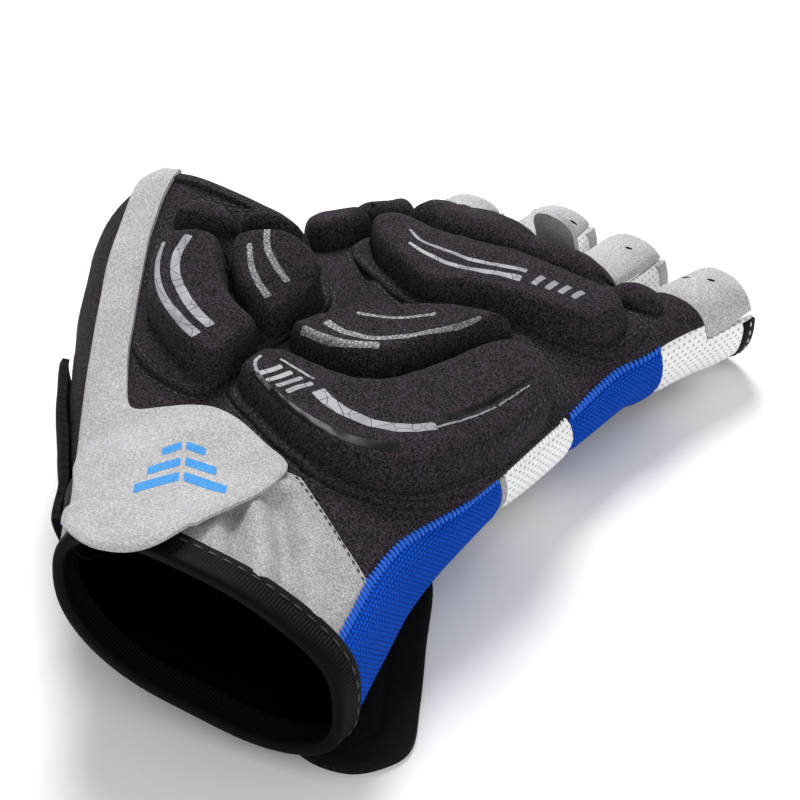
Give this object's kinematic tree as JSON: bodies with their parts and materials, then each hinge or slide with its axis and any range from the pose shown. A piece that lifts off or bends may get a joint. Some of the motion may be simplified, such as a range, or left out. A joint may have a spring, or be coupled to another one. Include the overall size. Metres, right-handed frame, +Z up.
{
  "type": "cycling glove",
  "caption": "Half-finger padded sport glove, palm up, with open cuff and fingers, mesh gussets and a wrist strap.",
  "frame": {"origin": "middle of the underside of the whole glove as it lies, palm up", "axes": "+Y from the wrist to the fingers, +X from the thumb side to the little finger, +Z up, out of the palm"},
  "size_m": [0.1514, 0.187, 0.0572],
  "materials": {
    "black_suede": "napped, matt",
    "grey_suede": "napped, matt",
    "dark_knit": "fine knit, matt",
    "white_mesh": "knitted mesh, matt",
    "blue_mesh": "looped mesh, matt",
    "ribbed_tape": "ribbed elastic, matt",
    "strap": "brushed, matt",
    "piping": "matt"
  },
  "bodies": {
    "root": {"cuff_binding": "ribbed_tape", "finger_front_index": "grey_suede", "finger_mesh_index": "white_mesh", "finger_binding_index": "ribbed_tape", "finger_front_middle": "grey_suede", "finger_mesh_middle": "white_mesh", "finger_binding_middle": "ribbed_tape", "finger_front_ring": "grey_suede", "finger_mesh_ring": "white_mesh", "finger_binding_ring": "ribbed_tape", "finger_front_little": "grey_suede", "finger_mesh_little": "white_mesh", "finger_binding_little": "ribbed_tape", "side_blue_wrist": "blue_mesh", "side_piping": "piping", "side_white_knuckle": "white_mesh", "side_blue_knuckle": "blue_mesh", "thumb_back_panel": "dark_knit", "back_panel": "dark_knit", "wrist_gore": "grey_suede", "thumb_palm_panel": "black_suede", "palm_panel": "black_suede", "thumb_strip_and_tab": "grey_suede", "thenar_pad": "black_suede", "heel_pad": "black_suede", "knuckle_pad": "black_suede", "index_pad_lower": "black_suede", "index_pad_upper": "black_suede", "crease_pad": "black_suede", "wrist_strap": "strap", "finger_pull_tab": "grey_suede"}
  },
  "joints": []
}
